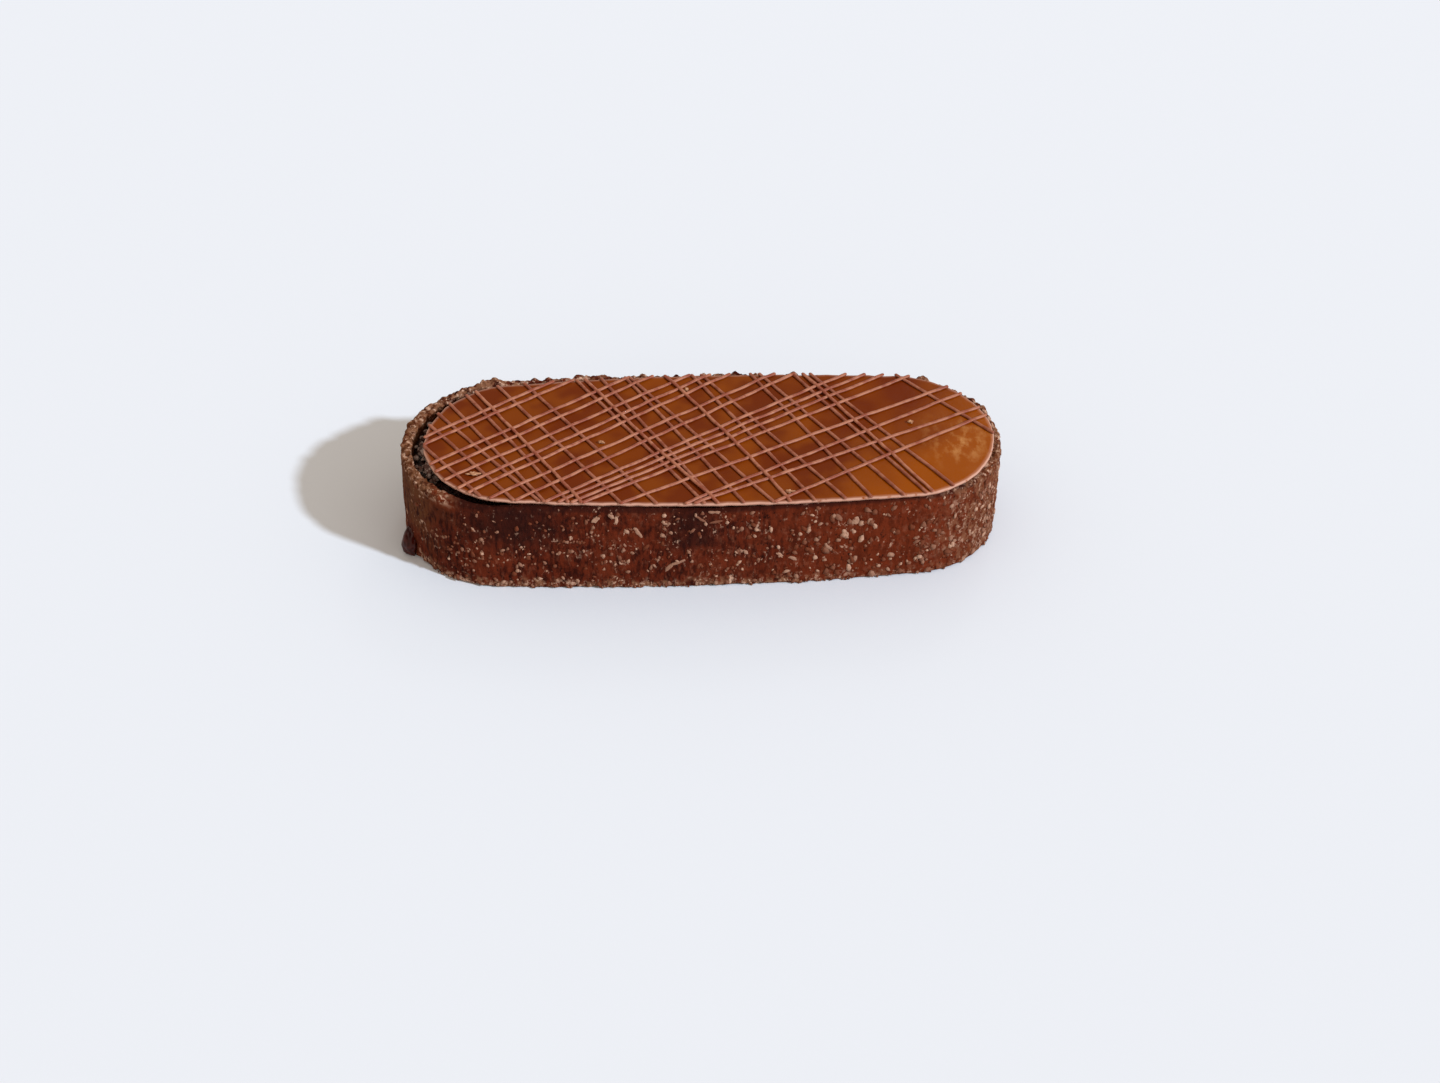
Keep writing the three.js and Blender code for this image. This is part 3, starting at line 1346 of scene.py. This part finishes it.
@dataclass
class CaramelPlaque:
    """The thin sheet that lies on the rim, with its wavy, rounded, paler edge."""

    pitch: float = 0.45
    left: RoundEnd = RoundEnd(-36.2, -0.8, 19.0)
    right: RoundEnd = RoundEnd(38.5, -0.3, 19.8)
    front_reach: float = 22.3
    back_reach: float = 20.9
    edge_radius: float = 0.3
    undercut: float = 0.7
    wavy_from: float = 16.0
    outline: Oblong = field(init=False)
    bottom: float = field(init=False)
    top: float = field(init=False)

    def __post_init__(self) -> None:
        """Takes the plaque's heights from the frame."""
        self.outline = Oblong(self.left, self.right, self.front_reach, self.back_reach)
        low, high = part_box("caramel_plaque")
        self.bottom = low[2] / MM
        self.top = high[2] / MM

    def surface(self, x: float, y: float) -> float:
        """The height of the plaque's top, in millimetres."""
        place = Vector((x, y, 0))
        return self.top + 0.07 * grain(place, 11.0, 2.0) + 0.03 * grain(place, 4.0, 3.0)

    def rings(self) -> list[Ring]:
        """The plaque's section, from the middle of its underside to the middle of its top.

        Returns:
            The rings in order.
        """
        radius = self.edge_radius
        rings = chain_of_rings(
            Ring(self.undercut, 1, self.bottom), 6, Ring(self.undercut, 0, self.bottom), 3,
            Ring(0, 0, self.top - 2 * radius),
        )
        for step in range(7):
            angle = math.pi * step / 6 - math.pi / 2
            rings.append(
                Ring(radius * (1 - math.cos(angle)), 0, self.top - radius * (1 - math.sin(angle)))
            )
        rings += run_of_rings(Ring(radius, 0, self.top), Ring(radius, 1, self.top), 40)[1:]
        rings.append(Ring(radius, 1, self.top))
        return rings

    def build(self, finish: Material) -> None:
        """Makes the plaque.

        Args:
            finish: The material.
        """
        bm = built_round(self.outline, self.rings(), self.pitch)
        mark(bm, "cut", self.cut_edge)
        mark(bm, "amber", self.amber_share)
        mark(bm, "ruddy", self.ruddy_share)
        # This mark places the painted highlight, a soft pale sheen.
        mark(bm, "painted_sheen", self.painted_sheen_share)
        for vert in bm.verts:
            place = vert.co / MM
            flat = place.xy.to_3d()
            wave = 0.3 * grain(flat, 5.0, 6.0) + 0.16 * grain(flat, 1.8, 7.0)
            away = Vector((place.x - min(max(place.x, self.left.x), self.right.x), place.y))
            if away.length > self.wavy_from:
                vert.co += (away.normalized() * wave * MM).to_3d()
            if place.z > self.top - 0.01:
                vert.co.z = self.surface(place.x, place.y) * MM
        plaque = to_piece(bm, "set_caramel_plaque", finish)
        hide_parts("caramel_plaque")

    def amber_share(self, place: Vector, normal: Vector) -> float:
        """How amber the sheet is, from 0 to 1: fully at the front of the right end.

        Args:
            place: The point, in millimetres.
            normal: The surface's normal there; not used.

        Returns:
            The share, from 0 to 1.
        """
        wander = 6 * grain(place, 9.0, 4.0)
        right = smoothstep(34, 54, place.x - 0.9 * place.y + wander)
        patches = 0.4 * smoothstep(-0.1, 0.6, grain(place, 8.0, 5.0)) * smoothstep(-30, 5, place.x)
        return max(right, patches)

    def ruddy_share(self, place: Vector, normal: Vector) -> float:
        """How dark and red the sheet is, from 0 to 1.

        Args:
            place: The point, in millimetres.
            normal: The surface's normal there; not used.

        Returns:
            The share, from 0 to 1.
        """
        far_back = 0.85 * bell(place.x, 36, 22)
        far_back *= smoothstep(-6, 6, place.y + 4 * grain(place, 8.0, 21.0))
        return max(far_back, 0.35 * smoothstep(-0.1, 0.6, grain(place, 10.0, 9.0)))

    def painted_sheen_share(self, place: Vector, normal: Vector) -> float:
        """How far a painted highlight, a soft pale sheen, shows, from 0 to 1, on the bare part of
        the right end.
        """
        return bell(place.x, 51, 10) * bell(place.y, -3, 11)

    def cut_edge(self, place: Vector, normal: Vector) -> float:
        """1 on the rounded edge, 0 on the flat faces, and fading in a narrow band on the top.

        Args:
            place: The point, in millimetres.
            normal: The surface's normal there.

        Returns:
            The share, from 0 to 1.
        """
        side = smoothstep(0.12, 0.5, math.hypot(normal.x, normal.y))
        side *= smoothstep(-0.8, -0.2, normal.z)
        band = 0.4 * smoothstep(-0.6, -0.25, self.outline.outside(place))
        band *= smoothstep(0.5, 0.9, normal.z)
        return max(side, band)


@dataclass
class Strand:
    """One piped strand, as points along its run in plan and how high its underside lies."""

    node: str
    points: np.ndarray
    heights: np.ndarray


@dataclass
class PipedStrands:
    """The strands, laid one after the other, each sagging onto the plaque between crossings."""

    width: float = 0.74
    height: float = 0.52
    step: float = 0.4
    sides: int = 10
    sag_reach: float = 1.8
    sink: float = 0.27
    stiffness: float = 3.4
    overrun: float = 0.12
    settle: float = 2.2
    tip_rings: int = 3
    bedding: float = 0.03

    def read_path(self, node: str) -> tuple[Vector, Vector, Vector]:
        """The start, middle and end of a CAD strand in plan, in millimetres.

        Args:
            node: The CAD node's name.

        Returns:
            The three points.
        """
        corners = np.array([tuple(vert.co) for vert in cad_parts[node].data.vertices])[:, :2]
        corners = corners / MM
        centred = corners - corners.mean(axis=0)
        along = np.linalg.svd(centred, full_matrices=False)[2][0]
        if along[0] < 0:
            along = -along
        side = np.array((-along[1], along[0]))
        run = corners @ along
        offset = corners @ side
        found = []
        for share in (0.0, 0.5, 1.0):
            target = run.min() + share * (run.max() - run.min())
            near = np.abs(run - target) < 0.6
            middle = (offset[near].min() + offset[near].max()) / 2
            found.append(Vector(along * target + side * middle))
        return found[0], found[1], found[2]

    def plan(self, node: str) -> np.ndarray:
        """Points along one strand in plan, a little uneven and a little past its ends.

        Args:
            node: The CAD node's name.

        Returns:
            The points, one row each.
        """
        start, middle, end = self.read_path(node)
        control = middle * 2 - (start + end) / 2
        length = (end - start).length
        direction = (end - start) / length
        side = Vector((-direction.y, direction.x))
        count = round(length / self.step)
        seed = start.x + end.y
        points = []
        for index in range(count + 1):
            share = index / count
            place = (
                start * (1 - share) ** 2 + control * (2 * share * (1 - share)) + end * share**2
            )
            place += direction * self.overrun * (2 * share - 1)
            sway = 0.1 * noise.noise(Vector((share * length / 7, seed, 0)))
            sway += 0.04 * noise.noise(Vector((share * length / 2, seed, 5)))
            points.append(place + side * sway)
        return np.array([tuple(point) for point in points])

    def lay(self, plaque: CaramelPlaque) -> list[Strand]:
        """Lays every strand, lowest layer first.

        Args:
            plaque: What the strands lie on.

        Returns:
            The strands in the order in which they were laid.
        """
        nodes = sorted(
            (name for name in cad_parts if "strand" in name),
            key=lambda name: (round(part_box(name)[0][2] / MM, 1), name),
        )
        laid: list[Strand] = []
        below = np.empty((0, 2))
        tops = np.empty(0)
        for node in nodes:
            points = self.plan(node)
            ground = np.array([plaque.surface(x, y) for x, y in points])
            lift = np.zeros(len(points))
            if len(below):
                gap = np.linalg.norm(points[:, None, :] - below[None, :, :], axis=2)
                share = np.clip(1.0 - (gap - 0.2) / (self.sag_reach - 0.2), 0.0, 1.0)
                hump = share * share * (3.0 - 2.0 * share)
                lift = (hump * (tops[None, :] - ground[:, None] - self.sink)).max(axis=1)
            from_end = np.minimum(np.arange(len(points)), np.arange(len(points))[::-1]) * self.step
            down = np.clip(from_end / self.settle, 0.0, 1.0)
            heights = ground + self.smooth(np.maximum(lift, 0.0)) * down
            laid.append(Strand(node, points, heights))
            below = np.vstack((below, points))
            tops = np.concatenate((tops, heights + self.height))
        return laid

    def smooth(self, lift: np.ndarray) -> np.ndarray:
        """Evens out a strand's humps, because set chocolate doesn't bend sharply.

        Args:
            lift: How far each point is lifted, in millimetres.

        Returns:
            The lift, evened out.
        """
        reach = round(self.stiffness / self.step)
        weights = np.hanning(2 * reach + 3)[1:-1]
        padded = np.pad(lift, reach, mode="edge")
        return np.convolve(padded, weights / weights.sum(), mode="valid")

    def build_strand(self, strand: Strand, finish: Material) -> None:
        """Makes one strand as a tube with round tips and an uneven width.

        Args:
            strand: The strand.
            finish: The material.
        """
        count = len(strand.points)
        ends = self.tip_rings
        seed = float(strand.points[0, 0])
        tangents = np.gradient(strand.points, axis=0)
        tangents /= np.linalg.norm(tangents, axis=1)[:, None]

        def place(column: int, row: int) -> Vector:
            """The point of one side on one ring.

            Args:
                column: The step round the shape.
                row: The step along it.

            Returns:
                The point, in millimetres.
            """
            index = min(max(row - ends, 0), count - 1)
            past = max(ends - row, row - ends - count + 1, 0) / ends
            way = -1.0 if row < ends else 1.0
            narrow = math.sqrt(max(0.0, 1.0 - past * past))
            bead = 1.0 + 0.14 * noise.noise(Vector((index * self.step / 2.4, seed, 1)))
            angle = 2 * math.pi * column / self.sides
            across = self.width / 2 * bead * narrow * math.cos(angle)
            up = self.height / 2 * (1.0 - 0.04 + bead * narrow * math.sin(angle))
            along = way * past * self.width / 2
            x, y = strand.points[index]
            tx, ty = tangents[index]
            return Vector(
                (x + tx * along - ty * across, y + ty * along + tx * across,
                 strand.heights[index] + up - self.bedding)
            )

        bm = rolled_sheet(self.sides, count - 1 + 2 * ends, place, weld=0.001)
        piece = to_piece(bm, f"piped_{strand.node}", finish)
        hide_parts(strand.node)

    def build(
        self, plaque: CaramelPlaque, first: Material, later: Material
    ) -> None:
        """Lays and makes every strand.

        Args:
            plaque: The sheet that they lie on.
            first: The finish of the first pass: the same chocolate in a darker copy with painted
                shade, because those strands run nearly along the light.
            later: The finish of the passes over it.
        """
        for strand in self.lay(plaque):
            self.build_strand(strand, first if strand.node.startswith("first") else later)


# === The floor, the light and the camera ===


@dataclass
class Studio:
    """A plain pale floor, daylight from the front right, and a soft fill from all round."""

    floor_size: float = 3.0
    floor_colour: str = "#e7e9ee"
    sun_direction: tuple[float, float, float] = (24.5, -14.5, 20.0)
    sun_strength: float = 3.2
    sun_colour: tuple[float, float, float] = (0.76, 0.87, 1.0)
    sun_softness: float = 3.6
    panel_power: float = 0.35
    panel_size: float = 0.2
    panel_place: tuple[float, float, float] = (0.33, 0.9, 0.75)
    fill_strength: float = 0.61
    fill_colour: tuple[float, float, float, float] = (1.0, 0.9, 0.785, 1.0)
    lens: float = 60.0
    sensor_width: float = 36.0
    camera_place: tuple[float, float, float] = (-20.6, -380.2, 311.3)
    camera_target: tuple[float, float, float] = (3.5, -7.9, 0.0)
    camera_roll: float = 0.023

    def build(self) -> None:
        """Makes the floor, the lights and the camera."""
        self.build_floor()
        self.build_light()
        self.build_camera()

    def build_floor(self) -> None:
        """Makes the floor that the tart stands on."""
        bm = bmesh.new()
        bmesh.ops.create_grid(bm, x_segments=1, y_segments=1, size=self.floor_size / 2)
        matte = Palette("plain_pale_floor").finish(self.floor_colour, 0.9, specular=0.0)
        to_object(bm, "floor", matte)

    def build_light(self) -> None:
        """Makes the key light and the fill."""
        scene = bpy.context.scene
        scene.view_settings.view_transform = "Standard"
        sun = bpy.data.lights.new("key", "SUN")
        sun.energy = self.sun_strength
        sun.angle = math.radians(self.sun_softness)
        sun.color = self.sun_colour
        lamp = add_object("key", sun)
        lamp.rotation_euler = Vector(self.sun_direction).to_track_quat("Z", "Y").to_euler()
        panel = bpy.data.lights.new("panel", "AREA")
        panel.energy = self.panel_power
        panel.size = self.panel_size
        screen = add_object("panel", panel)
        screen.location = self.panel_place
        screen.rotation_euler = Vector(self.panel_place).to_track_quat("Z", "Y").to_euler()
        world = bpy.data.worlds.new("fill")
        world.use_nodes = True
        sky = world.node_tree.nodes["Background"]
        sky.inputs["Color"].default_value = self.fill_colour
        sky.inputs["Strength"].default_value = self.fill_strength
        scene.world = world

    def build_camera(self) -> None:
        """Makes the camera, a little above and to the left of the tart's front."""
        data = bpy.data.cameras.new("camera")
        data.lens = self.lens
        data.sensor_width = self.sensor_width
        data.clip_start = 0.01
        camera = add_object("camera", data)
        place = Vector(self.camera_place)
        away = place - Vector(self.camera_target)
        roll = Quaternion((0, 0, 1), self.camera_roll)
        camera.rotation_euler = (away.to_track_quat("Z", "Y") @ roll).to_euler()
        camera.location = place * MM
        bpy.context.scene.camera = camera


def main() -> None:
    """Builds the tart and its studio."""
    logging.basicConfig(level=logging.INFO, format="%(name)s %(message)s")
    Studio().build()
    plaque = CaramelPlaque()
    case = PastryCase(cover=plaque.outline)
    grains = PastryGrain().make()
    case.build(BakedPastry().make(), grains)
    WallChips().build(case, grains)
    SugarDrip().build(BurntSugar().make())
    NutFilling().build(case, StickyFilling().make())
    build_nuts(case, ChoppedPecan().make())
    plaque.build(CaramelChocolate().make())
    # Painted shade: the first pass is a darker copy of the same chocolate, for strands that run
    # nearly along the light.
    shaded_first_pass = PipedChocolate("piped_milk_chocolate_shaded_copy", "#84422c", "#a3634a")
    PipedStrands().build(plaque, shaded_first_pass.make(), PipedChocolate().make())
    build_crumbs(PastryGrain("loose_pastry_crumbs", "#96583a", "#d6a882").make())


if __name__ == "__main__":
    main()
